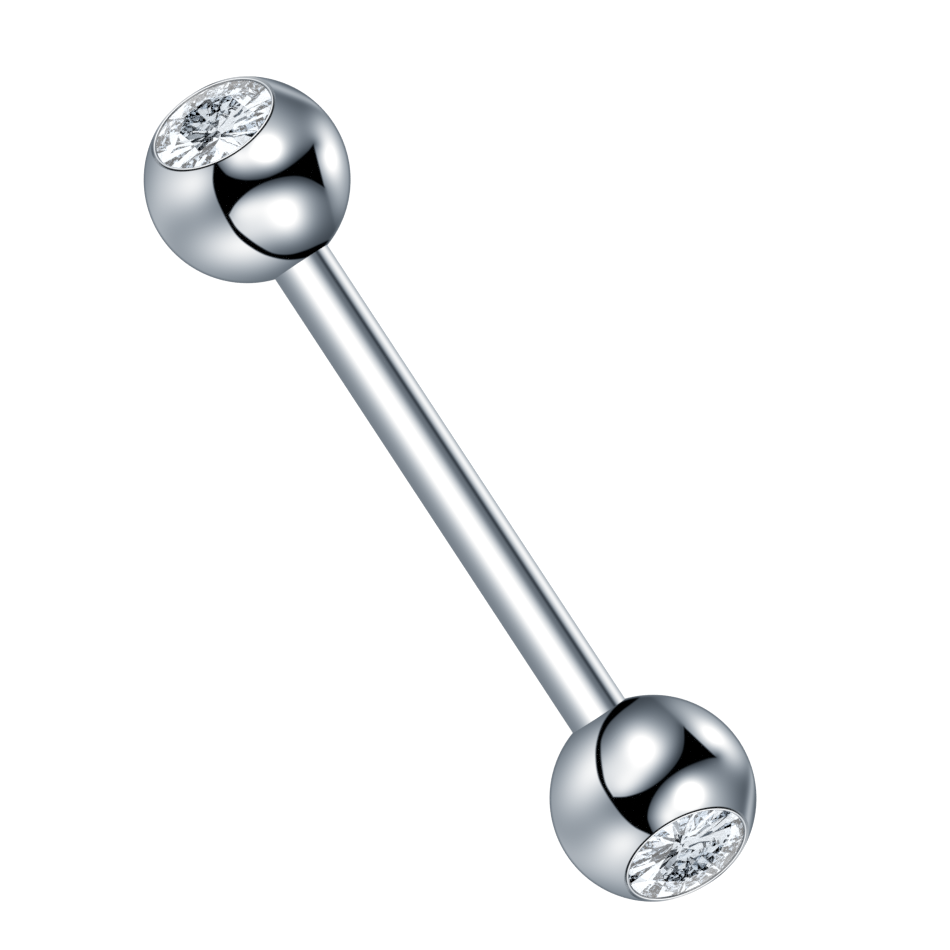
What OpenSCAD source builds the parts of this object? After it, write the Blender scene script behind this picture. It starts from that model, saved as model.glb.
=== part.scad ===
// Tongue barbell: a straight polished bar with a screw-on ball at each end, and a round
// cut stone set in each ball. All lengths are in millimetres and all angles in degrees.
// The barbell lies on its side: the bar runs along X, the top ball is at -X, the bottom
// ball at +X, and both stones look upwards and outwards.

/* [Bar] */
// Diameter of the bar (14 gauge)
bar_d = 1.6; // [1.4:0.1:2]
// Length of the bar between its two shoulders
bar_l = 14; // [10:0.5:22]
// Width of the small bevel at the edge of each shoulder
shoulder_bevel = 0.03; // [0.01:0.01:0.06]

/* [Thread] */
// Outside diameter of the threaded stud at each end of the bar
stud_d = 1.2; // [0.9:0.05:1.25]
// Length of each stud beyond its shoulder
stud_l = 1.8; // [1.2:0.1:2]
// Distance from one ridge of the thread to the next
thread_pitch = 0.25; // [0.2:0.05:0.4]
// Depth of the thread
thread_depth = 0.12; // [0.06:0.02:0.16]
// Length of the plain neck between the shoulder and the thread
neck_l = 0.15; // [0.1:0.05:0.3]
// Length of the tapered tip of the stud
tip_l = 0.12; // [0.06:0.02:0.2]
// Gap between the stud and the wall of its hole
thread_gap = 0.03; // [0.01:0.01:0.06]
// Gap between the tip of the stud and the end of its hole
tip_gap = 0.1; // [0.05:0.01:0.15]

/* [Balls] */
// Diameter of each ball
ball_d = 5.3; // [5:0.1:8]
// Depth of the flat seat sunk in the ball for the shoulder of the bar
seat_depth = 0.065; // [0.03:0.005:0.15]
// Gap between the rim of that seat and the side of the bar
seat_gap = 0.02; // [0.01:0.01:0.05]
// Gap between the seat and the shoulder of the bar, with the ball screwed home
shoulder_gap = 0.01; // [0.005:0.005:0.05]
// Width of the bevel at the mouth of the screw hole
mouth_bevel = 0.04; // [0.02:0.01:0.06]

/* [Setting] */
// Angle between the axis of a stone and the axis of the bar
stone_tilt = 34.2; // [20:0.2:45]
// Turn of the top ball about the bar, from stone straight up
top_clock = -3.3; // [-180:0.1:180]
// Turn of the bottom ball about the bar, from stone straight up
bottom_clock = 3.3; // [-180:0.1:180]
// Width of the thin lip round the stone
lip_w = 0.06; // [0.04:0.01:0.14]
// How far the lip stands above the edge of the ball round it
lip_rise = 0.02; // [0.01:0.01:0.04]
// Width of the fine groove cut round the lip
groove_w = 0.06; // [0.03:0.01:0.12]
// Depth of that groove below the top of the lip
groove_depth = 0.08; // [0.04:0.01:0.12]
// Gap between the stone and its seat
stone_gap = 0.02; // [0.01:0.01:0.04]
// Diameter of the pilot hole under the stone
pilot_d = 1.8; // [1.4:0.1:2.2]
// Gap between the point of the stone and the bottom of the pilot hole
point_gap = 0.1; // [0.05:0.01:0.2]

/* [Stone] */
// Diameter of each stone
stone_d = 3.25; // [2.8:0.05:3.4]
// Diameter of the table across its corners
table_d = 1.75; // [1.5:0.05:2.1]
// Height of the table above the girdle
crown_h = 0.205; // [0.14:0.005:0.5]
// Height of the girdle
girdle_h = 0.06; // [0.04:0.01:0.1]
// Depth of the point below the girdle
pavilion_h = 1.29; // [1.1:0.01:1.45]
// How far the top of the girdle lies below the top of the lip
stone_sink = 0.04; // [0.02:0.02:0.2]
// Share of the way from the table's edge to the girdle that a star facet reaches
star_share = 0.5; // [0.35:0.05:0.65]
// Share of the way from the girdle to the point that a lower girdle facet reaches
lower_share = 0.78; // [0.6:0.02:0.86]
// Turn of the facets about the axis of the stone
facet_turn = 15; // [0:1:45]
// Short sides that make up the round girdle
girdle_sides = 64; // [32:16:96]

/* [Hidden] */

steel = [0.78, 0.8, 0.83];
clear_stone = [0.93, 0.95, 1];

// smoothness of the round faces
fine = 96;
// a length that is surely past the piece that it cuts
past = ball_d;

bar_r = bar_d / 2;
stud_r = stud_d / 2;
root_r = stud_r - thread_depth;
ball_r = ball_d / 2;

// the seat and the screw hole, measured from the centre of the ball towards the bar
seat_r = bar_r + seat_gap;
seat_at = sqrt(ball_r * ball_r - seat_r * seat_r) - seat_depth;
hole_r = stud_r + thread_gap;
hole_end = seat_at + shoulder_gap - stud_l - tip_gap;
ball_x = bar_l / 2 + shoulder_gap + seat_at;

// the setting and the stone, measured from the centre of the ball along the stone's axis
stone_r = stone_d / 2;
bore_r = stone_r + stone_gap;
lip_r = bore_r + lip_w;
rim_r = lip_r + groove_w;
rim_z = sqrt(ball_r * ball_r - rim_r * rim_r);
lip_z = rim_z + lip_rise;
groove_z = lip_z - groove_depth;
girdle_top = lip_z - stone_sink;
girdle_low = girdle_top - girdle_h;
table_z = girdle_top + crown_h;
point_z = girdle_low - pavilion_h;
pilot_r = pilot_d / 2;
pilot_z = point_z - point_gap;
seat_slope = pavilion_h / stone_r;
bearing_z = girdle_low - stone_gap;
pilot_top = bearing_z - (bore_r - pilot_r) * seat_slope;

// facets of a round brilliant: one table, eight of each main kind, sixteen of each girdle kind
mains = 8;
main_step = 360 / mains;
half_step = main_step / 2;
arc = girdle_sides / mains / 2;
table_r = table_d / 2;
table_flat = table_r * cos(half_step);
star_r = table_flat + (stone_r - table_flat) * star_share;
lower_r = stone_r * (1 - lower_share);

// height at x on the straight line through two points [x, height]
function on_line(a, b, x) = a[1] + (b[1] - a[1]) * (x - a[0]) / (b[0] - a[0]);

// a point at radius r and angle a, z high
function polar(r, a, z) = [r * cos(a), r * sin(a), z];

// the star points lie on the kite facets, the lower points on the pavilion mains
star_z = on_line([table_r, table_z], [stone_r, girdle_top], star_r * cos(half_step));
lower_z = on_line([0, point_z], [stone_r, girdle_low], lower_r * cos(half_step));

// angle from the middle of the girdle facet that holds angle a
function off_middle(a) = a - (floor(a / half_step) + 0.5) * half_step;

// height of the girdle's edge at angle a, on the flat facet from [r, z] to the height girdle_z
function edge_z(a, r, z, girdle_z) =
    on_line(
        [r * cos(half_step / 2), z],
        [stone_r * cos(half_step / 2), girdle_z],
        stone_r * cos(off_middle(a))
    );

side_angles = [for (i = [0 : girdle_sides - 1]) i * 360 / girdle_sides];
main_angles = [for (i = [0 : mains - 1]) i * main_step];

stone_points = concat(
    [for (a = main_angles) polar(table_r, a, table_z)],
    [for (a = main_angles) polar(star_r, a + half_step, star_z)],
    [for (a = side_angles) polar(stone_r, a, edge_z(a, star_r, star_z, girdle_top))],
    [for (a = side_angles) polar(stone_r, a, edge_z(a, lower_r, lower_z, girdle_low))],
    [for (a = main_angles) polar(lower_r, a + half_step, lower_z)],
    [[0, 0, point_z]]
);

// place in stone_points of each kind of point, counted round and round
function table_pt(i) = i % mains;
function star_pt(i) = mains + (i + mains) % mains;
function high_pt(i) = 2 * mains + i % girdle_sides;
function low_pt(i) = 2 * mains + girdle_sides + i % girdle_sides;
function lower_pt(i) = 2 * mains + 2 * girdle_sides + (i + mains) % mains;
point_pt = 3 * mains + 2 * girdle_sides;

// the girdle points under half a main facet, from half number h
function high_arc(h) = [for (i = [arc : -1 : 0]) high_pt(h * arc + i)];
function low_arc(h) = [for (i = [0 : arc]) low_pt(h * arc + i)];

stone_faces = concat(
    [[for (i = [mains - 1 : -1 : 0]) table_pt(i)]],
    [for (i = [0 : mains - 1]) [table_pt(i), table_pt(i + 1), star_pt(i)]],
    [for (i = [0 : mains - 1]) [table_pt(i), star_pt(i), high_pt(2 * i * arc), star_pt(i - 1)]],
    [for (h = [0 : 2 * mains - 1]) concat([star_pt(floor(h / 2))], high_arc(h))],
    [for (i = [0 : girdle_sides - 1]) [high_pt(i), high_pt(i + 1), low_pt(i + 1), low_pt(i)]],
    [for (h = [0 : 2 * mains - 1]) concat([lower_pt(floor(h / 2))], low_arc(h))],
    [for (i = [0 : mains - 1]) [point_pt, lower_pt(i - 1), low_pt(2 * i * arc), lower_pt(i)]]
);

// ridges of the thread that fit between the neck and the tapered tip
ridges = floor((stud_l - neck_l - tip_l) / thread_pitch);

// half outline of a stud, [radius, height above the shoulder]
stud_outline = concat(
    [[0, -neck_l], [root_r, -neck_l]],
    [
        for (i = [0 : ridges - 1], p = [[root_r, 0], [stud_r, 0.35], [stud_r, 0.5], [root_r, 0.85]])
        [p[0], neck_l + (i + p[1]) * thread_pitch]
    ],
    [[root_r, stud_l - tip_l], [root_r - tip_l / 2, stud_l], [0, stud_l]]
);

// half outline of what is cut away for the stone, [radius, height from the ball's centre]
setting_outline = [
    [0, pilot_z],
    [pilot_r, pilot_z],
    [pilot_r, pilot_top],
    [bore_r, bearing_z],
    [bore_r, lip_z],
    [lip_r, lip_z],
    [lip_r, groove_z],
    [rim_r + groove_w, 2 * rim_z - groove_z],
    [rim_r + groove_w, past],
    [0, past]
];

// half outline of the screw hole, [radius, height from the ball's centre]
hole_outline = [
    [0, hole_end],
    [hole_r, hole_end],
    [hole_r, seat_at - mouth_bevel],
    [hole_r + mouth_bevel, seat_at],
    [seat_r, seat_at],
    [seat_r, past],
    [0, past]
];

// lays what stands along Z along the stone's axis
module along_stone() {
    rotate([0, 90 - stone_tilt, 0])
        children();
}

// puts a ball's pieces, made with the bar at their -X side, at the top or the bottom end
module at_top() {
    translate([-ball_x, 0, ball_r])
        rotate([top_clock, 0, 0])
            mirror([1, 0, 0])
                children();
}

module at_bottom() {
    translate([ball_x, 0, ball_r])
        rotate([bottom_clock, 0, 0])
            children();
}

module stud() {
    translate([bar_l / 2, 0, 0])
        rotate([0, 90, 0])
            rotate_extrude($fn = fine)
                polygon(stud_outline);
}

module shaft() {
    bevel_at = bar_l / 2 - shoulder_bevel;
    rotate([0, 90, 0])
        rotate_extrude($fn = fine)
            polygon([
                [0, -bar_l / 2],
                [bar_r - shoulder_bevel, -bar_l / 2],
                [bar_r, -bevel_at],
                [bar_r, bevel_at],
                [bar_r - shoulder_bevel, bar_l / 2],
                [0, bar_l / 2]
            ]);
}

// turned on the axis of the bar, so its poles are at the screw hole and opposite it
module set_ball() {
    difference() {
        rotate([0, 90, 0])
            sphere(r = ball_r, $fn = fine);
        rotate([0, -90, 0])
            rotate_extrude($fn = fine)
                polygon(hole_outline);
        along_stone()
            rotate_extrude($fn = fine)
                polygon(setting_outline);
    }
}

module cut_stone() {
    along_stone()
        rotate([0, 0, facet_turn])
            polyhedron(points = stone_points, faces = stone_faces, convexity = 2);
}

module bar() {
    color(steel)
        translate([0, 0, ball_r]) {
            shaft();
            stud();
            mirror([1, 0, 0])
                stud();
        }
}

module top_ball() {
    color(steel)
        at_top()
            set_ball();
}

module bottom_ball() {
    color(steel)
        at_bottom()
            set_ball();
}

module top_stone() {
    color(clear_stone)
        at_top()
            cut_stone();
}

module bottom_stone() {
    color(clear_stone)
        at_bottom()
            cut_stone();
}

bar();
top_ball();
bottom_ball();
top_stone();
bottom_stone();
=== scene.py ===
import math

import bpy
import numpy as np
from mathutils import Matrix, Vector


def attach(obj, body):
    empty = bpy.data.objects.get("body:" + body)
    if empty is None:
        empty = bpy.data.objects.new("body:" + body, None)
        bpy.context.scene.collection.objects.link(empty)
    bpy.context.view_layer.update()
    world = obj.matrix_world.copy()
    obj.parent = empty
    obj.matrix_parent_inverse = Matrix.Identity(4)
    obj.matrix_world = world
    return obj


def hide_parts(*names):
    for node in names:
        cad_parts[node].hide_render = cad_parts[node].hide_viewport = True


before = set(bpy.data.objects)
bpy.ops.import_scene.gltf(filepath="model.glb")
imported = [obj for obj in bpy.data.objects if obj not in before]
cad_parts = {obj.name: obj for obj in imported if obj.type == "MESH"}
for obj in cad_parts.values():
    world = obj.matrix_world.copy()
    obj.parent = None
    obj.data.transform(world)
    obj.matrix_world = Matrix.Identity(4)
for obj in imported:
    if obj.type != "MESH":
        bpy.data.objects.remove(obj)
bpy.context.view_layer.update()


# The bar
# One straight rod of surgical steel, 14 gauge, turned and mirror polished. Each end is
# stepped down to a short stud with a right-hand thread, cut in one piece with the rod,
# so that a ball can be screwed on. It lies between its two balls, clear of the table.
mm = 0.001
bar_radius = 0.8 * mm
bar_half = 7.0 * mm
shoulder_bevel = 0.03 * mm
stud_radius = 0.6 * mm
stud_length = 1.8 * mm
thread_depth = 0.12 * mm
thread_pitch = 0.25 * mm
stud_root = stud_radius - thread_depth
neck = 0.15 * mm
tip = 0.12 * mm
ball_radius = 2.65 * mm
around = 160
rows_per_pitch = 14
ridge_foot, ridge_top = 0.08, 0.42

angles = np.arange(around) * 2 * math.pi / around
cosines, sines = np.cos(angles), np.sin(angles)


def smooth_step(low, high, value):
    """0 below low, 1 above high, and a soft slope between."""
    share = np.clip((value - low) / (high - low), 0, 1)
    return share * share * (3 - 2 * share)


def axis_frame(tilt):
    """Two directions across an axis and the axis itself, tilt radians up from +X."""
    across = np.array([math.sin(tilt), 0, -math.cos(tilt)])
    side = np.array([0.0, 1.0, 0.0])
    along = np.array([math.cos(tilt), 0, math.sin(tilt)])
    return across, side, along


def ring(radius, height, tilt=0.0):
    """Points of a circle about a tilted axis; one point where the radius is 0."""
    across, side, along = axis_frame(tilt)
    if np.isscalar(radius) and radius == 0:
        return (height * along)[None, :]
    radius = np.broadcast_to(radius, around)[:, None]
    spokes = cosines[:, None] * across + sines[:, None] * side
    return radius * spokes + height * along


def lean(out, up, tilt=0.0):
    """Directions round a tilted axis that point out and up by the given amounts."""
    across, side, along = axis_frame(tilt)
    spokes = cosines[:, None] * across + sines[:, None] * side
    normals = out * spokes + up * along
    return normals / np.linalg.norm(normals, axis=1)[:, None]


def turn_profile(steps, tilt=0.0):
    """Rings and normals of a turned shape. steps are (radius, height) pairs, walked with
    the metal on the right-hand side."""
    rings = [ring(r, z, tilt) for r, z in steps]
    bands = []
    for (r0, z0), (r1, z1) in zip(steps[:-1], steps[1:]):
        normals = lean(z0 - z1, r1 - r0, tilt)
        bands.append((normals, normals))
    return rings, bands


def thread_rows(radius, depth, start, end, hand=1):
    """Rings and normals of a thread about X, from start to end along X. The surface
    stands at radius and rises outwards by depth, one rise for each pitch."""
    count = max(int(abs(end - start) / thread_pitch * rows_per_pitch), 2)
    places = np.linspace(start, end, count)
    low, high = min(start, end), max(start, end)

    def surface(place, turn):
        share = np.abs(((place / thread_pitch - hand * turn / (2 * math.pi)) % 1) - 0.5)
        ridge = smooth_step(ridge_foot, ridge_top, share)
        run = smooth_step(low, low + thread_pitch, place)
        run = run * (1 - smooth_step(high - thread_pitch, high, place))
        return radius + depth * ridge * run

    across, side, along = axis_frame(0.0)
    spokes = cosines[:, None] * across + sines[:, None] * side
    round_about = -sines[:, None] * across + cosines[:, None] * side
    turn_step, place_step = 1e-4, 1e-8
    rings, normals = [], []
    for place in places:
        r = surface(place, angles)
        by_turn = (surface(place, angles + turn_step) - r) / turn_step
        by_place = (surface(place + place_step, angles) - r) / place_step
        rings.append(r[:, None] * spokes + place * along)
        n = spokes - (by_turn / r)[:, None] * round_about - by_place[:, None] * along
        normals.append(n / np.linalg.norm(n, axis=1)[:, None])
    return rings, normals


def solid_through(name, rings, bands, place):
    """A closed mesh through the rings, put in place by a 4 x 4 matrix, with the given
    normals so that a polished face mirrors as truly as the real one."""
    place = np.array(place)
    flipped = np.linalg.det(place[:3, :3]) < 0
    starts = np.cumsum([0] + [len(r) for r in rings])
    points = np.vstack(rings) @ place[:3, :3].T + place[:3, 3]
    faces, corner_normals = [], []
    for k, (first, second) in enumerate(bands):
        s0, s1 = int(starts[k]), int(starts[k + 1])
        for i in range(around):
            j = (i + 1) % around
            if len(rings[k]) == 1:
                face, normals = [s0, s1 + i, s1 + j], [first[i], second[i], second[j]]
            elif len(rings[k + 1]) == 1:
                face, normals = [s0 + i, s1, s0 + j], [first[i], second[i], first[j]]
            else:
                face = [s0 + i, s1 + i, s1 + j, s0 + j]
                normals = [first[i], second[i], second[j], first[j]]
            if flipped:
                face, normals = face[::-1], normals[::-1]
            faces.append(face)
            corner_normals += normals
    mesh = bpy.data.meshes.new(name)
    mesh.from_pydata(points.tolist(), [], faces)
    mesh.shade_smooth()
    corner_normals = np.array(corner_normals) @ place[:3, :3].T
    mesh.normals_split_custom_set(corner_normals.tolist())
    piece = bpy.data.objects.new(name, mesh)
    bpy.context.scene.collection.objects.link(piece)
    return piece


def joined(*parts):
    """Several runs of rings and bands as one, each run starting where the last ends."""
    rings, bands = list(parts[0][0]), list(parts[0][1])
    for more_rings, more_bands in parts[1:]:
        rings += list(more_rings)[1:]
        bands += list(more_bands)
    return rings, bands


def threaded_stud(side):
    """A stud: for side 1 from its tip to the shoulder, for side -1 from the shoulder to its
    tip."""
    thread_start, thread_end = bar_half + neck, bar_half + stud_length - tip
    face, end = bar_half, bar_half + stud_length
    rings, normals = thread_rows(
        stud_root, thread_depth, side * thread_end, side * thread_start
    )
    outer = [(0, side * end), (stud_root - tip / 2, side * end), (stud_root, side * thread_end)]
    inner = [(stud_root, side * thread_start), (stud_root, side * face)]
    if side < 0:
        rings, normals = rings[::-1], normals[::-1]
        outer, inner = outer[::-1], inner[::-1]
    thread = rings, list(zip(normals[:-1], normals[1:]))
    runs = [turn_profile(outer), thread, turn_profile(inner)]
    return joined(*runs[::side])


edge = bar_radius - shoulder_bevel
shaft = turn_profile(
    [
        (stud_root, bar_half),
        (edge, bar_half),
        (bar_radius, bar_half - shoulder_bevel),
        (bar_radius, 0),
        (bar_radius, shoulder_bevel - bar_half),
        (edge, -bar_half),
        (stud_root, -bar_half),
    ]
)
bar_rings, bar_bands = joined(threaded_stud(1), shaft, threaded_stud(-1))
bar = solid_through("polished_bar", bar_rings, bar_bands, Matrix.Translation((0, 0, ball_radius)))


def polish_group():
    """Fine marks that polishing leaves in steel: a faint drift in tone, a slight change
    of gloss from place to place, and hair-fine lines that run along X."""
    group = bpy.data.node_groups.new("fine_polish", "ShaderNodeTree")
    face = group.interface
    for label, kind, value in (
        ("Steel", "NodeSocketColor", (0.78, 0.79, 0.81, 1)),
        ("Tarnish", "NodeSocketColor", (0.7, 0.72, 0.76, 1)),
        ("Drift", "NodeSocketFloat", 0.15),
        ("Gloss", "NodeSocketFloat", 0.03),
        ("Gloss Change", "NodeSocketFloat", 0.02),
        ("Mark Size", "NodeSocketFloat", 2500.0),
    ):
        face.new_socket(label, in_out="INPUT", socket_type=kind).default_value = value
    face.new_socket("Color", in_out="OUTPUT", socket_type="NodeSocketColor")
    face.new_socket("Roughness", in_out="OUTPUT", socket_type="NodeSocketFloat")
    face.new_socket("Height", in_out="OUTPUT", socket_type="NodeSocketFloat")
    nodes, links = group.nodes, group.links
    given = nodes.new("NodeGroupInput")
    out = nodes.new("NodeGroupOutput")
    where = nodes.new("ShaderNodeTexCoord")

    cloud = nodes.new("ShaderNodeTexNoise")
    cloud.inputs["Detail"].default_value = 3
    cloud.inputs["Scale"].default_value = 900
    links.new(where.outputs["Object"], cloud.inputs["Vector"])
    share = nodes.new("ShaderNodeMath")
    share.operation = "MULTIPLY"
    links.new(cloud.outputs["Fac"], share.inputs[0])
    links.new(given.outputs["Drift"], share.inputs[1])
    tone = nodes.new("ShaderNodeMix")
    tone.data_type = "RGBA"
    links.new(share.outputs[0], tone.inputs["Factor"])
    links.new(given.outputs["Steel"], tone.inputs["A"])
    links.new(given.outputs["Tarnish"], tone.inputs["B"])
    links.new(tone.outputs["Result"], out.inputs["Color"])

    drawn = nodes.new("ShaderNodeMapping")
    drawn.inputs["Scale"].default_value = (0.08, 1, 1)
    links.new(where.outputs["Object"], drawn.inputs["Vector"])
    lines = nodes.new("ShaderNodeTexNoise")
    lines.inputs["Detail"].default_value = 4
    links.new(drawn.outputs["Vector"], lines.inputs["Vector"])
    links.new(given.outputs["Mark Size"], lines.inputs["Scale"])
    links.new(lines.outputs["Fac"], out.inputs["Height"])
    gloss = nodes.new("ShaderNodeMath")
    gloss.operation = "MULTIPLY_ADD"
    links.new(lines.outputs["Fac"], gloss.inputs[0])
    links.new(given.outputs["Gloss Change"], gloss.inputs[1])
    links.new(given.outputs["Gloss"], gloss.inputs[2])
    links.new(gloss.outputs[0], out.inputs["Roughness"])
    return group


fine_polish = polish_group()
# Faces marked as lying in a recess get painted shade: their colour is mixed towards this near
# black, and they are duller.
painted_shade_black = (0.012, 0.014, 0.017, 1)
recess_dullness = 0.6


def polished_steel(name, gloss, gloss_change, mark_size, lift):
    """Mirror-polished steel: its group gives tone and gloss, its bump the faint marks. Faces
    that are marked as lying in a recess are dull and darkened with painted shade."""
    material = bpy.data.materials.new(name)
    material.use_nodes = True
    nodes, links = material.node_tree.nodes, material.node_tree.links
    shader = nodes["Principled BSDF"]
    shader.inputs["Metallic"].default_value = 1.0
    marks = nodes.new("ShaderNodeGroup")
    marks.node_tree = fine_polish
    marks.inputs["Gloss"].default_value = gloss
    marks.inputs["Gloss Change"].default_value = gloss_change
    marks.inputs["Mark Size"].default_value = mark_size
    # The recess mask paints shade into the base colour, near black where it is 1.
    recess = nodes.new("ShaderNodeAttribute")
    recess.attribute_name = "recess"
    painted_shade_mix = nodes.new("ShaderNodeMix")
    painted_shade_mix.data_type = "RGBA"
    painted_shade_mix.inputs["B"].default_value = painted_shade_black
    links.new(recess.outputs["Fac"], painted_shade_mix.inputs["Factor"])
    links.new(marks.outputs["Color"], painted_shade_mix.inputs["A"])
    links.new(painted_shade_mix.outputs["Result"], shader.inputs["Base Color"])
    dull = nodes.new("ShaderNodeMath")
    dull.operation = "MULTIPLY_ADD"
    dull.inputs[1].default_value = recess_dullness
    links.new(recess.outputs["Fac"], dull.inputs[0])
    links.new(marks.outputs["Roughness"], dull.inputs[2])
    links.new(dull.outputs[0], shader.inputs["Roughness"])
    bump = nodes.new("ShaderNodeBump")
    bump.inputs["Strength"].default_value = lift
    bump.inputs["Distance"].default_value = 0.001 * mm
    links.new(marks.outputs["Height"], bump.inputs["Height"])
    links.new(bump.outputs["Normal"], shader.inputs["Normal"])
    return material


drawn_steel = polished_steel(
    "drawn_and_polished_steel", gloss=0.05, gloss_change=0.03, mark_size=6000, lift=0.3
)
bar.data.materials.append(drawn_steel)
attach(bar, "bar")
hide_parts("bar")
bar.visible_glossy = False


# The balls
# Two balls of the same polished steel, one for each end. Each has a tapped hole with a
# sunk flat seat for the bar's shoulder, and a round setting, tilted out of the bar's
# line, whose thin lip is cut free by a fine groove and stands close round the stone.
shoulder_gap = 0.01 * mm
seat_radius = 0.82 * mm
seat_depth = 0.065 * mm
hole_radius = 0.63 * mm
mouth_bevel = 0.04 * mm
tap_depth = 0.05 * mm
tip_gap = 0.1 * mm
seat_at = math.sqrt(ball_radius**2 - seat_radius**2) - seat_depth
hole_end = seat_at + shoulder_gap - stud_length - tip_gap
ball_x = bar_half + shoulder_gap + seat_at
ball_turn = math.radians(3.3)

stone_tilt = math.radians(34.2)
stone_radius = 1.625 * mm
stone_gap = 0.02 * mm
lip_width = 0.06 * mm
lip_rise = 0.02 * mm
lip_round = 0.01 * mm
groove_width = 0.06 * mm
groove_depth = 0.08 * mm
stone_sink = 0.04 * mm
girdle_height = 0.06 * mm
pavilion_height = 1.29 * mm
pilot_radius = 0.9 * mm
point_gap = 0.1 * mm

bore_radius = stone_radius + stone_gap
lip_radius = bore_radius + lip_width
rim_radius = lip_radius + groove_width
rim_height = math.sqrt(ball_radius**2 - rim_radius**2)
lip_height = rim_height + lip_rise
girdle_top = lip_height - stone_sink
girdle_low = girdle_top - girdle_height
point_height = girdle_low - pavilion_height
bearing = girdle_low - stone_gap
pilot_top = bearing - (bore_radius - pilot_radius) * pavilion_height / stone_radius

pocket = turn_profile(
    [
        (0, point_height - point_gap),
        (pilot_radius, point_height - point_gap),
        (pilot_radius, pilot_top),
        (bore_radius, bearing),
        (bore_radius, lip_height - lip_round),
    ],
    stone_tilt,
)

lip_steps = 8
lip_turns = [math.pi * (1 - k / lip_steps) for k in range(lip_steps + 1)]
lip_rings = [
    ring(
        (bore_radius + lip_radius) / 2 + lip_width / 2 * math.cos(t),
        lip_height - lip_round + lip_round * math.sin(t),
        stone_tilt,
    )
    for t in lip_turns
]
lip_normals = [
    lean(lip_round * math.cos(t), lip_width / 2 * math.sin(t), stone_tilt) for t in lip_turns
]
lip = (lip_rings, list(zip(lip_normals[:-1], lip_normals[1:])))

lip_wall = turn_profile(
    [(lip_radius, lip_height - lip_round), (lip_radius, lip_height - groove_depth)], stone_tilt
)
groove = turn_profile(
    [(lip_radius, lip_height - groove_depth), (rim_radius, rim_height)], stone_tilt
)

# the ball's face, as circles that lean from the setting's axis to the bar's
face_rings, face_normals = [], []
wide_start = math.asin(rim_radius / ball_radius)
wide_end = math.pi - math.asin(seat_radius / ball_radius)
face_steps = 110
for k in range(face_steps + 1):
    share = k / face_steps
    wide = wide_start + (wide_end - wide_start) * share
    tilt = stone_tilt * (1 - share)
    face_rings.append(ring(ball_radius * math.sin(wide), ball_radius * math.cos(wide), tilt))
    face_normals.append(lean(math.sin(wide), math.cos(wide), tilt))
ball_face = (face_rings, list(zip(face_normals[:-1], face_normals[1:])))

seat = turn_profile(
    [
        (seat_radius, -seat_at - seat_depth),
        (seat_radius, -seat_at),
        (hole_radius + mouth_bevel, -seat_at),
        (hole_radius, -seat_at + mouth_bevel),
    ]
)
hole_bottom = turn_profile([(hole_radius, -hole_end), (0, -hole_end)])

ball_places = {
    "top": Matrix.Translation((-ball_x, 0, ball_radius))
    @ Matrix.Rotation(-ball_turn, 4, "X")
    @ Matrix.Scale(-1, 4, (1, 0, 0)),
    "bottom": Matrix.Translation((ball_x, 0, ball_radius))
    @ Matrix.Rotation(ball_turn, 4, "X"),
}


def paint_recess_shade(piece, depths):
    """Paints shade on the faces of each run of a turned piece, 0 on open faces to 1 in a recess.
    """
    marks = piece.data.attributes.new("recess", "FLOAT", "FACE")
    shares = np.concatenate([np.full(len(run[1]) * around, depth) for run, depth in depths])
    marks.data.foreach_set("value", shares)


ball_steel = polished_steel(
    "mirror_polished_steel", gloss=0.03, gloss_change=0.02, mark_size=2500, lift=0.15
)
balls = {}
for end, place in ball_places.items():
    hand = -1 if end == "top" else 1
    tapped_rings, tapped_normals = thread_rows(
        hole_radius, tap_depth, -seat_at + mouth_bevel, -hole_end, hand
    )
    tapped_normals = [-n for n in tapped_normals]
    tapped = (tapped_rings, list(zip(tapped_normals[:-1], tapped_normals[1:])))
    # how much painted shade each run gets, from 0 on open faces to 1, most on the lip's outer
    # wall and in the hole
    runs = [
        (pocket, 0.6), (lip, 0.0), (lip_wall, 1.0), (groove, 0.25), (ball_face, 0.0),
        (seat, 0.3), (tapped, 0.6), (hole_bottom, 0.9),
    ]
    rings, bands = joined(*[run for run, depth in runs])
    ball = solid_through(f"{end}_gem_ball", rings, bands, place)
    paint_recess_shade(ball, runs)
    ball.data.materials.append(ball_steel)
    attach(ball, f"{end}_end")
    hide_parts(f"{end}_ball")
    ball.visible_glossy = False
    balls[end] = ball


# The stones
# A round brilliant of clear cubic zirconia in each ball: a flat table, a low crown of
# stars, kites and girdle facets, and a pavilion with a silvered back, as small set stones
# often have, which sends the light up again. It lies in its cone with the lip round it.
table_radius = 0.875 * mm
crown_height = 0.205 * mm
star_share = 0.5
lower_share = 0.78
facet_turn = math.radians(15)
mains = 8
girdle_sides = 64


def on_line(a, b, x):
    """Height at x on the straight line through the points a and b."""
    return a[1] + (b[1] - a[1]) * (x - a[0]) / (b[0] - a[0])


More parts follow.
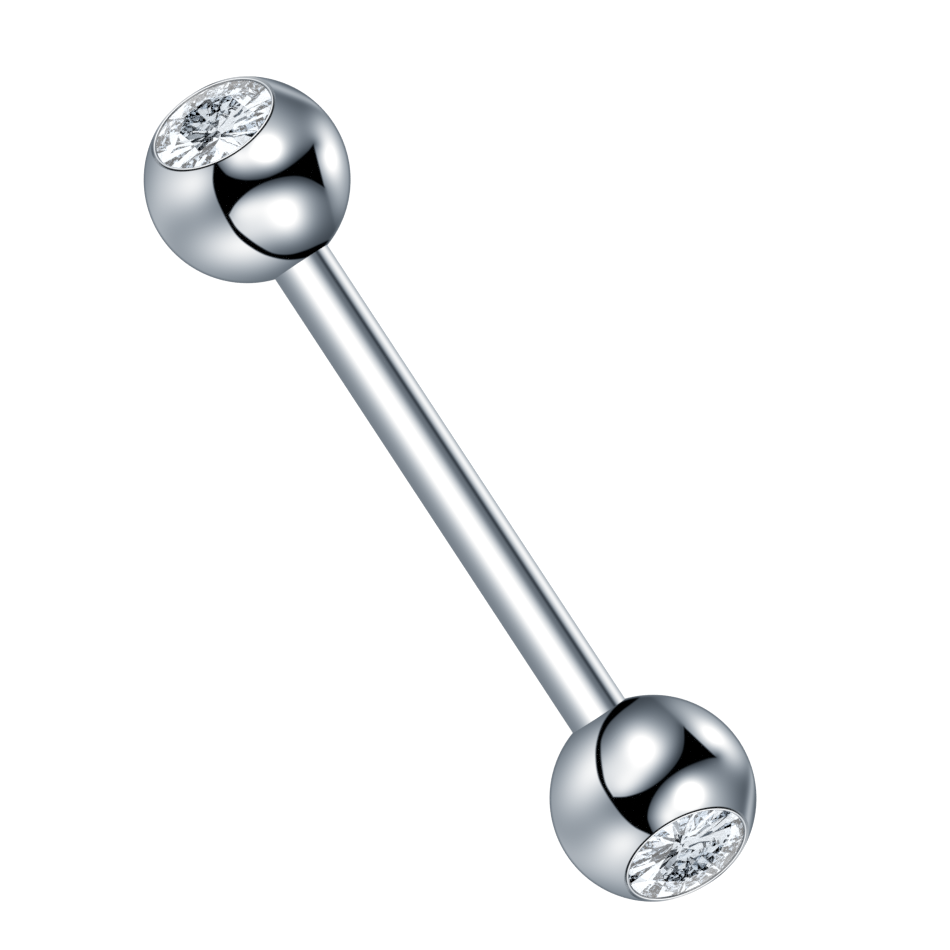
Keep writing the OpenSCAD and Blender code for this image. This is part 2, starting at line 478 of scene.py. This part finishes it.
def brilliant():
    """Points, front faces and back faces of the stone, its axis along Z from the ball's
    centre."""
    step = 2 * math.pi / mains
    half = step / 2
    rounding = 1e-9
    arc = girdle_sides // mains // 2
    table_height = girdle_top + crown_height
    flat = table_radius * math.cos(half)
    star_radius = flat + (stone_radius - flat) * star_share
    lower_radius = stone_radius * (1 - lower_share)
    star_height = on_line(
        (table_radius, table_height), (stone_radius, girdle_top), star_radius * math.cos(half)
    )
    lower_height = on_line(
        (0, point_height), (stone_radius, girdle_low), lower_radius * math.cos(half)
    )

    def polar(r, a, z):
        return (r * math.cos(a), r * math.sin(a), z)

    def edge_height(a, r, z, girdle):
        off = a - (math.floor(a / half + rounding) + 0.5) * half
        middle = math.cos(half / 2)
        return on_line(
            (r * middle, z), (stone_radius * middle, girdle), stone_radius * math.cos(off)
        )

    turns = [i * step for i in range(mains)]
    sides = [i * 2 * math.pi / girdle_sides for i in range(girdle_sides)]
    points = [polar(table_radius, a, table_height) for a in turns]
    points += [polar(star_radius, a + half, star_height) for a in turns]
    points += [
        polar(stone_radius, a, edge_height(a, star_radius, star_height, girdle_top))
        for a in sides
    ]
    points += [
        polar(stone_radius, a, edge_height(a, lower_radius, lower_height, girdle_low))
        for a in sides
    ]
    points += [polar(lower_radius, a + half, lower_height) for a in turns]
    points.append((0, 0, point_height))

    def table(i):
        return i % mains

    def star(i):
        return mains + i % mains

    def high(i):
        return 2 * mains + i % girdle_sides

    def low(i):
        return 2 * mains + girdle_sides + i % girdle_sides

    def lower(i):
        return 2 * mains + 2 * girdle_sides + i % mains

    culet = len(points) - 1
    front, back = [[table(i) for i in range(mains)]], []
    for i in range(mains):
        front.append([star(i), table(i + 1), table(i)])
        front.append([star(i - 1), high(2 * i * arc), star(i), table(i)])
        back.append([lower(i), low(2 * i * arc), lower(i - 1), culet])
    for h in range(2 * mains):
        front.append([star(h // 2)] + [high(h * arc + i) for i in range(arc + 1)])
        back.append([lower(h // 2)] + [low(h * arc + i) for i in range(arc, -1, -1)])
    for i in range(girdle_sides):
        front.append([low(i), low(i + 1), high(i + 1), high(i)])
    return points, front, back


def hide_from_steel(material):
    """Lets the mirrored rays of the steel pass a stone, but not the stone's own rays, which
    have come in through its front."""
    nodes, links = material.node_tree.nodes, material.node_tree.links
    shader, output = nodes["Principled BSDF"], nodes["Material Output"]
    path = nodes.new("ShaderNodeLightPath")
    gone = nodes.new("ShaderNodeBsdfTransparent")
    mirrored, seen = nodes.new("ShaderNodeMixShader"), nodes.new("ShaderNodeMixShader")
    links.new(path.outputs["Transmission Depth"], mirrored.inputs["Fac"])
    links.new(gone.outputs[0], mirrored.inputs[1])
    links.new(shader.outputs[0], mirrored.inputs[2])
    links.new(path.outputs["Is Glossy Ray"], seen.inputs["Fac"])
    links.new(shader.outputs[0], seen.inputs[1])
    links.new(mirrored.outputs[0], seen.inputs[2])
    links.new(seen.outputs[0], output.inputs["Surface"])


def tint_softly(material, scale, first, second, low=0.0, high=1.0):
    """Gives a material a tint that drifts in soft clouds between two colours."""
    nodes, links = material.node_tree.nodes, material.node_tree.links
    where = nodes.new("ShaderNodeTexCoord")
    cloud = nodes.new("ShaderNodeTexNoise")
    cloud.inputs["Scale"].default_value = scale
    links.new(where.outputs["Object"], cloud.inputs["Vector"])
    tint = nodes.new("ShaderNodeValToRGB")
    start, end = tint.color_ramp.elements
    start.position, start.color = low, (*first, 1)
    end.position, end.color = high, (*second, 1)
    links.new(cloud.outputs["Fac"], tint.inputs["Fac"])
    links.new(tint.outputs["Color"], nodes["Principled BSDF"].inputs["Base Color"])


def clear_stone_material():
    """Clear cut stone: nearly colourless, with a trace of cool tint that drifts."""
    material = bpy.data.materials.new("clear_cut_stone")
    material.use_nodes = True
    shader = material.node_tree.nodes["Principled BSDF"]
    shader.inputs["Metallic"].default_value = 0.0
    shader.inputs["Transmission Weight"].default_value = 1.0
    shader.inputs["Roughness"].default_value = 0.0
    shader.inputs["IOR"].default_value = 2.17
    cool, clear = (0.97, 0.985, 1.0), (1.0, 1.0, 1.0)
    tint_softly(material, 1200, cool, clear, low=0.35, high=0.65)
    hide_from_steel(material)
    return material


def silvered_back_material():
    """The thin silvering on the pavilion, bright with faint cloudy patches."""
    material = bpy.data.materials.new("silvered_back")
    material.use_nodes = True
    shader = material.node_tree.nodes["Principled BSDF"]
    shader.inputs["Metallic"].default_value = 1.0
    shader.inputs["Roughness"].default_value = 0.0
    tint_softly(material, 1500, (0.895, 0.915, 0.935), (0.915, 0.93, 0.945))
    hide_from_steel(material)
    return material


stone_points, front_faces, back_faces = brilliant()
stone_stands = Matrix.Rotation(math.pi / 2 - stone_tilt, 4, "Y") @ Matrix.Rotation(
    facet_turn, 4, "Z"
)
clear_stone = clear_stone_material()
silvered_back = silvered_back_material()
stones = {}
for end, place in ball_places.items():
    whole = place @ stone_stands
    mesh = bpy.data.meshes.new(f"{end}_brilliant")
    faces = front_faces + back_faces
    if whole.determinant() < 0:
        faces = [corners[::-1] for corners in faces]
    mesh.from_pydata([whole @ Vector(p) for p in stone_points], [], faces)
    mesh.materials.append(clear_stone)
    mesh.materials.append(silvered_back)
    for facet in mesh.polygons[len(front_faces) :]:
        facet.material_index = 1
    stone = bpy.data.objects.new(f"{end}_brilliant", mesh)
    bpy.context.scene.collection.objects.link(stone)
    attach(stone, f"{end}_end")
    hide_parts(f"{end}_stone")
    stones[end] = stone


# The table
# A wide sheet of white opal glass, lit from below as for a catalogue picture. It is
# white nearly all over, and the two balls that rest on it leave only the faintest shade.
def opal_sheet():
    """Dull white glass that glows of itself."""
    material = bpy.data.materials.new("opal_glass")
    material.use_nodes = True
    shader = material.node_tree.nodes["Principled BSDF"]
    shader.inputs["Roughness"].default_value = 0.9
    shader.inputs["Specular IOR Level"].default_value = 0.0
    tint_softly(material, 30, (0.40, 0.40, 0.405), (0.42, 0.42, 0.42))
    shader.inputs["Emission Color"].default_value = (1, 1, 1, 1)
    shader.inputs["Emission Strength"].default_value = 0.84
    return material


table_reach = 2.0
table_mesh = bpy.data.meshes.new("opal_table")
table_mesh.from_pydata(
    [(x * table_reach, y * table_reach, 0) for x, y in ((-1, -1), (1, -1), (1, 1), (-1, 1))],
    [],
    [(0, 1, 2, 3)],
)
table_mesh.materials.append(opal_sheet())
table = bpy.data.objects.new("opal_table", table_mesh)
bpy.context.scene.collection.objects.link(table)
table.visible_glossy = False
table.visible_transmission = False


# The lights
# Each polished piece stands in a light tent of its own: white cloth with soft lamps
# behind it and black cards in it. The tents are out of the picture, and what shows of
# them is the pattern of lamps and cards that the steel and the stones mirror.
tent_radius = 150 * mm
cool_dark = np.array([0.70, 0.98, 1.36])
cool_bend = 1.1
steel_tone = np.array([0.774, 0.785, 0.806])
brightest = 1.15
picture_gamma = 2.2


def lamp_field(a, b, base, lamps):
    """Brightness from soft oval lamps, each (gain, a, b, length, width, turn)."""
    level = np.full(a.shape, base)
    for gain, at_a, at_b, long, wide, turn in lamps:
        c, s = math.cos(math.radians(turn)), math.sin(math.radians(turn))
        p = ((a - at_a) * c + (b - at_b) * s) / long
        q = ((b - at_b) * c - (a - at_a) * s) / wide
        level = level + gain * np.exp(-0.5 * (p * p + q * q))
    return level


def bent_line(points, share=12):
    """A smooth line through the points."""
    p = np.array(points, float)
    q = np.vstack([2 * p[0] - p[1], p, 2 * p[-1] - p[-2]])
    t = np.linspace(0, 1, share, endpoint=False)[:, None]
    runs = [
        0.5
        * (
            2 * q[i]
            + (q[i + 1] - q[i - 1]) * t
            + (2 * q[i - 1] - 5 * q[i] + 4 * q[i + 1] - q[i + 2]) * t**2
            + (3 * q[i] - q[i - 1] - 3 * q[i + 1] + q[i + 2]) * t**3
        )
        for i in range(1, len(q) - 2)
    ]
    return np.vstack(runs + [p[-1:]])


def off_line(a, b, line):
    """Distance from an open line."""
    best = np.full(a.shape, np.inf)
    for p, q in zip(line[:-1], line[1:]):
        e = q - p
        t = np.clip(((a - p[0]) * e[0] + (b - p[1]) * e[1]) / (e @ e + 1e-12), 0, 1)
        best = np.minimum(best, np.hypot(a - p[0] - t * e[0], b - p[1] - t * e[1]))
    return best


def within(a, b, outline):
    """Distance from a closed outline, positive inside it."""
    inside = np.zeros(a.shape, bool)
    for p, q in zip(outline, np.roll(outline, -1, 0)):
        if p[1] != q[1]:
            crosses = (p[1] > b) != (q[1] > b)
            at = (q[0] - p[0]) * (b - p[1]) / (q[1] - p[1]) + p[0]
            inside ^= crosses & (a < at)
    gap = off_line(a, b, np.vstack([outline, outline[:1]]))
    return np.where(inside, gap, -gap)


# The cards and lamps of a ball's tent are laid out as the ball mirrors them to a viewer
# above: a runs from the ball's middle towards the bar, b across it, both 1 at its edge.
card_front = bent_line(
    [
        (-0.29, -0.186), (-0.143, -0.286), (0, -0.336), (0.143, -0.357), (0.286, -0.364),
        (0.432, -0.353), (0.575, -0.302), (0.72, -0.215), (0.851, -0.077), (0.923, 0.068),
        (0.95, 0.2), (0.935, 0.332), (0.897, 0.415),
    ]
)
card_back = bent_line(
    [
        (0.897, 0.415), (0.89, 0.286), (0.876, 0.145), (0.834, -0.01), (0.75, -0.136),
        (0.638, -0.212), (0.497, -0.277), (0.357, -0.321), (0.214, -0.321),
    ]
)
card_low = bent_line(
    [
        (0.214, -0.321), (0.157, -0.214), (0.121, -0.071), (0.114, 0.057), (0.129, 0.186),
        (0.171, 0.329), (0.229, 0.443), (0.314, 0.529), (0.443, 0.607),
    ]
)
card_high = bent_line(
    [
        (0.029, 0.721), (0.064, 0.643), (0.089, 0.543), (0.107, 0.43), (0.111, 0.314),
        (0.093, 0.171), (0.043, 0.043), (-0.029, -0.064), (-0.114, -0.136), (-0.2, -0.16),
        (-0.29, -0.166),
    ]
)
black_card = np.vstack([card_front, card_back, card_low, card_high])
front_part = np.vstack([card_front, [(1.2, 0.45), (1.2, -1.2), (-1.2, -1.2), (-1.2, -0.186)]])
low_part = np.vstack([card_front[-1:], card_back, card_low, [(1.0, 0.46)]])

# Soft lamps, each (gain, a, b, length, width, turn in degrees). The front ones lie in
# front of the black card's long arc, the low ones in the bay between its arc and its arm,
# and the high ones beyond the arm. A fit to the pictured balls' brightness set the values.
low_lamps = (
    (0.38, 0.507, 0.188, 0.171, 0.133, -18),
    (0.82, 0.020, -0.650, 0.700, 0.118, 71),
    (0.64, 0.459, -0.224, 0.178, 0.493, -14),
)
high_lamps = (
    (1.01, -0.104, 0.310, 0.132, 0.148, 113),
    (0.48, -0.231, 0.010, 0.096, 0.174, -73),
    (0.78, 0.162, 0.811, 0.260, 0.095, -18),
    (0.36, -0.386, 0.460, 0.700, 0.179, 31),
    (0.36, -0.590, 0.722, 0.479, 0.031, 40),
    (0.19, 0.647, 0.661, 0.164, 0.097, -46),
    (0.78, 0.181, -0.457, 0.700, 0.301, -13),
)
front_lamps = (
    (0.56, -0.208, -0.425, 0.172, 0.233, 21),
    (0.65, 0.539, -0.330, 0.215, 0.465, -25),
    (0.35, -0.470, -0.656, 0.700, 0.175, -44),
    (-0.47, 0.929, 1.100, 0.085, 0.643, 0),
)


low_base, high_base, front_base = 0.20, 0.26, 0.315
low_shade, low_shade_reach = 0.411, 0.077
high_shade, high_shade_reach = 0.618, 0.12
seam_half = 0.03
front_edge, front_edge_growth, front_edge_start = 0.02, 0.9, -0.29
lip_lamp, lip_lamp_at, lip_lamp_size = 0.5, -0.66, (0.24, 0.4)
card_edge = 0.018
rim_level, rim_start = 0.42, 0.97


def ball_tent(a, b):
    """How bright a ball's tent is, 0 to 1, where the ball mirrors it at (a, b)."""
    card = within(a, b, black_card)
    front = within(a, b, front_part)
    low = within(a, b, low_part)
    low_shadow = low_shade * np.exp(-off_line(a, b, card_low) / low_shade_reach)
    high_shadow = high_shade * np.exp(-off_line(a, b, card_high) / high_shade_reach)
    low_level = lamp_field(a, b, low_base, low_lamps) * (1 - low_shadow)
    high_level = lamp_field(a, b, high_base, high_lamps) * (1 - high_shadow)
    front_level = lamp_field(a, b, front_base, front_lamps)
    share = smooth_step(-seam_half, seam_half, low)
    level = share * low_level + (1 - share) * high_level
    soft = front_edge + front_edge_growth * np.maximum(0, front_edge_start - a)
    share = smooth_step(-0.5, 0.5, front / soft)
    level = share * front_level + (1 - share) * level
    from_lip = np.hypot((a - lip_lamp_at) / lip_lamp_size[0], b / lip_lamp_size[1])
    level = level + lip_lamp * (1 - smooth_step(0.5, 1.0, from_lip))
    level = level * (1 - smooth_step(-0.5, 0.5, card / card_edge))
    return level + (rim_level - level) * smooth_step(rim_start, 1.0, np.hypot(a, b))


def tent_colour(level, tone):
    """Light for a level as the eye sees it, once mirrored by a surface of the given tone:
    whites are neutral, darks a little cool."""
    level = np.clip(level, 0, brightest)
    cool = cool_dark[None, :] ** (np.clip(1 - level, 0, 1) ** cool_bend)[:, None]
    return level[:, None] ** picture_gamma * cool / tone


def tent(name, middle, reach, directions, faces, colours, lit):
    """A shell of light round a piece, which lights only that piece and hides nothing."""
    mesh = bpy.data.meshes.new(name)
    points = np.array(middle) + reach * directions
    mesh.from_pydata(points.tolist(), [], faces)
    glow = mesh.color_attributes.new("glow", "FLOAT_COLOR", "POINT")
    glow.data.foreach_set("color", np.hstack([colours, np.ones((len(colours), 1))]).ravel())
    material = bpy.data.materials.new(name + "_cloth")
    material.use_nodes = True
    nodes, links = material.node_tree.nodes, material.node_tree.links
    nodes.remove(nodes["Principled BSDF"])
    painted = nodes.new("ShaderNodeVertexColor")
    painted.layer_name = "glow"
    lamp = nodes.new("ShaderNodeEmission")
    clear = nodes.new("ShaderNodeBsdfTransparent")
    both = nodes.new("ShaderNodeAddShader")
    links.new(painted.outputs["Color"], lamp.inputs["Color"])
    links.new(lamp.outputs[0], both.inputs[0])
    links.new(clear.outputs[0], both.inputs[1])
    links.new(both.outputs[0], nodes["Material Output"].inputs["Surface"])
    material.cycles.emission_sampling = "NONE"
    mesh.materials.append(material)
    shell = bpy.data.objects.new(name, mesh)
    bpy.context.scene.collection.objects.link(shell)
    shell.visible_camera = False
    shell.visible_diffuse = False
    shell.visible_shadow = False
    only = bpy.data.collections.new(name + "_lights")
    for piece in lit:
        only.objects.link(piece)
    shell.light_linking.receiver_collection = only
    return shell


outer_reach = 0.9995


def mirror_shell(rows, columns):
    """Places (a, b) on a ball as seen from above, and the way each one mirrors."""
    reach = np.sin(np.linspace(0, math.pi / 2, rows + 1))[1:]
    reach[-1] = outer_reach
    turns = np.arange(columns) * 2 * math.pi / columns
    a = np.concatenate([[0], np.outer(reach, np.cos(turns)).ravel()])
    b = np.concatenate([[0], np.outer(reach, np.sin(turns)).ravel()])
    up = np.sqrt(1 - a * a - b * b)
    ways = np.stack([2 * a * up, 2 * b * up, 2 * up * up - 1], 1)
    faces = [(0, 1 + i, 1 + (i + 1) % columns) for i in range(columns)]
    for r in range(rows - 1):
        first = 1 + r * columns
        for i in range(columns):
            j = (i + 1) % columns
            faces.append((first + i, first + columns + i, first + columns + j, first + j))
    return a, b, ways, faces


a, b, ways, shell_faces = mirror_shell(rows=240, columns=600)
tent_turn = math.radians(-2.8)
for end, side in (("top", 1), ("bottom", -1)):
    turn = tent_turn * side
    seen_a = side * a * math.cos(turn) + b * math.sin(turn)
    seen_b = b * math.cos(turn) - side * a * math.sin(turn)
    colours = tent_colour(ball_tent(seen_a, seen_b), steel_tone)
    middle = (-side * ball_x, 0, ball_radius)
    tent(f"{end}_ball_tent", middle, tent_radius, ways, shell_faces, colours, [balls[end]])

# The bar mirrors its tent only round its axis, so the tent is the same all along it. Each
# lamp or dark strip is (gain, place across the bar, width), both as shares of its radius,
# with values from a fit to the pictured bar's brightness.
bar_base, bar_fall = 0.47, 0.1
bar_lamps = (
    (0.62, -0.088, 0.344),
    (-0.26, 0.611, 0.043),
    (0.56, 0.849, 0.117),
    (-0.15, 0.449, 0.094),
)
tent_up = ways[:, 2]
tent_across = ways[:, 1]
across_bar = np.sin(np.arctan2(tent_across, tent_up) / 2)
bar_level = bar_base - bar_fall * np.clip(across_bar, 0, 1)
for gain, at, width in bar_lamps:
    bar_level = bar_level + gain * np.exp(-0.5 * ((across_bar - at) / width) ** 2)
bar_middle = (0, 0, ball_radius)
bar_tent_radius = 0.9 * tent_radius
bar_colours = tent_colour(bar_level, steel_tone)
tent("bar_tent", bar_middle, bar_tent_radius, ways, shell_faces, bar_colours, [bar])

# The stones break up a white tent with round black and grey cards at both ends of the bar,
# each (angle round from the bar's end, angle up, radius, level), with angles in degrees.
# A search through layouts drawn by chance picked them.
stone_cards = (
    (28, -17, 9, 0.04), (15, 32, 5, 0.04), (-41, -13, 9, 0.6), (-45, -30, 17, 0.04),
    (23, 29, 9, 0.04), (-5, -11, 14, 0.04), (-57, 19, 11, 0.04), (-29, 20, 19, 0.2),
    (-33, -1, 5, 0.6), (62, 22, 6, 0.45), (8, 30, 12, 0.2), (-8, 68, 9, 0.45),
)
white_cloth = 1.12
card_blur = 1
stone_level = np.full(len(ways), white_cloth)
for round_turn, up_turn, card_reach, card_level in stone_cards:
    for end_turn, hand in ((180, 1), (0, -1)):
        t, e = math.radians(end_turn + hand * round_turn), math.radians(up_turn)
        towards = np.array([math.cos(t) * math.cos(e), math.sin(t) * math.cos(e), math.sin(e)])
        off = np.degrees(np.arccos(np.clip(ways @ towards, -1, 1)))
        share = 1 - smooth_step(card_reach - card_blur, card_reach + card_blur, off)
        stone_level = stone_level * (1 - share) + card_level * share
stone_colours = tent_colour(stone_level, 1.0)
stone_tent_radius = 1.2 * tent_radius
tent(
    "stone_tent", bar_middle, stone_tent_radius, ways, shell_faces, stone_colours,
    [stones["top"], stones["bottom"]],
)

# Plain soft light for the room: pale walls, and one wide lamp overhead for the table.
room = bpy.data.worlds.new("pale_room")
bpy.context.scene.world = room
room.use_nodes = True
room.node_tree.nodes["Background"].inputs["Color"].default_value = (1, 1, 1, 1)
room.node_tree.nodes["Background"].inputs["Strength"].default_value = 1.0
room.cycles_visibility.glossy = False
room.cycles_visibility.transmission = False
overhead = bpy.data.lights.new("overhead_lamp", "AREA")
overhead.shape = "DISK"
overhead.size = 0.5
overhead.energy = 0.2
overhead_at = Vector((0.05, 0.1, 0.6))
overhead_lamp = bpy.data.objects.new("overhead_lamp", overhead)
overhead_lamp.location = overhead_at
overhead_lamp.rotation_euler = overhead_at.to_track_quat("Z", "Y").to_euler()
overhead_lamp.visible_camera = False
overhead_lamp.visible_glossy = False
overhead_lamp.visible_transmission = False
bpy.context.scene.collection.objects.link(overhead_lamp)

scene = bpy.context.scene
scene.view_settings.view_transform = "Standard"
scene.cycles.max_bounces = 32
scene.cycles.transmission_bounces = 32
scene.cycles.glossy_bounces = 20
scene.cycles.transparent_max_bounces = 32
scene.cycles.caustics_reflective = False
scene.cycles.caustics_refractive = False
scene.cycles.blur_glossy = 0.0
scene.cycles.sample_clamp_indirect = 0.0


# The camera
# A long lens, straight above the barbell and turned so that it lies from the upper left
# to the lower right, a little left of and below the middle of the picture.
picture_width = 950
pixels_per_mm = 39.08
picture_turn = math.radians(56.728)
right = Vector((math.cos(picture_turn), math.sin(picture_turn), 0))
up = Vector((-math.sin(picture_turn), math.cos(picture_turn), 0))
aim_right, aim_up = 0.638 * mm, 0.358 * mm
lens = bpy.data.cameras.new("long_lens")
lens.sensor_width = 36
lens.lens = 500
field = picture_width / pixels_per_mm * mm
distance = field * lens.lens / lens.sensor_width
lens.clip_start = 0.01
lens.clip_end = 10
camera = bpy.data.objects.new("camera", lens)
camera.location = (
    right * aim_right + up * aim_up + Vector((0, 0, ball_radius + distance))
)
camera.rotation_mode = "QUATERNION"
camera.rotation_quaternion = Matrix((right, up, (0, 0, 1))).transposed().to_quaternion()
scene.collection.objects.link(camera)
scene.camera = camera
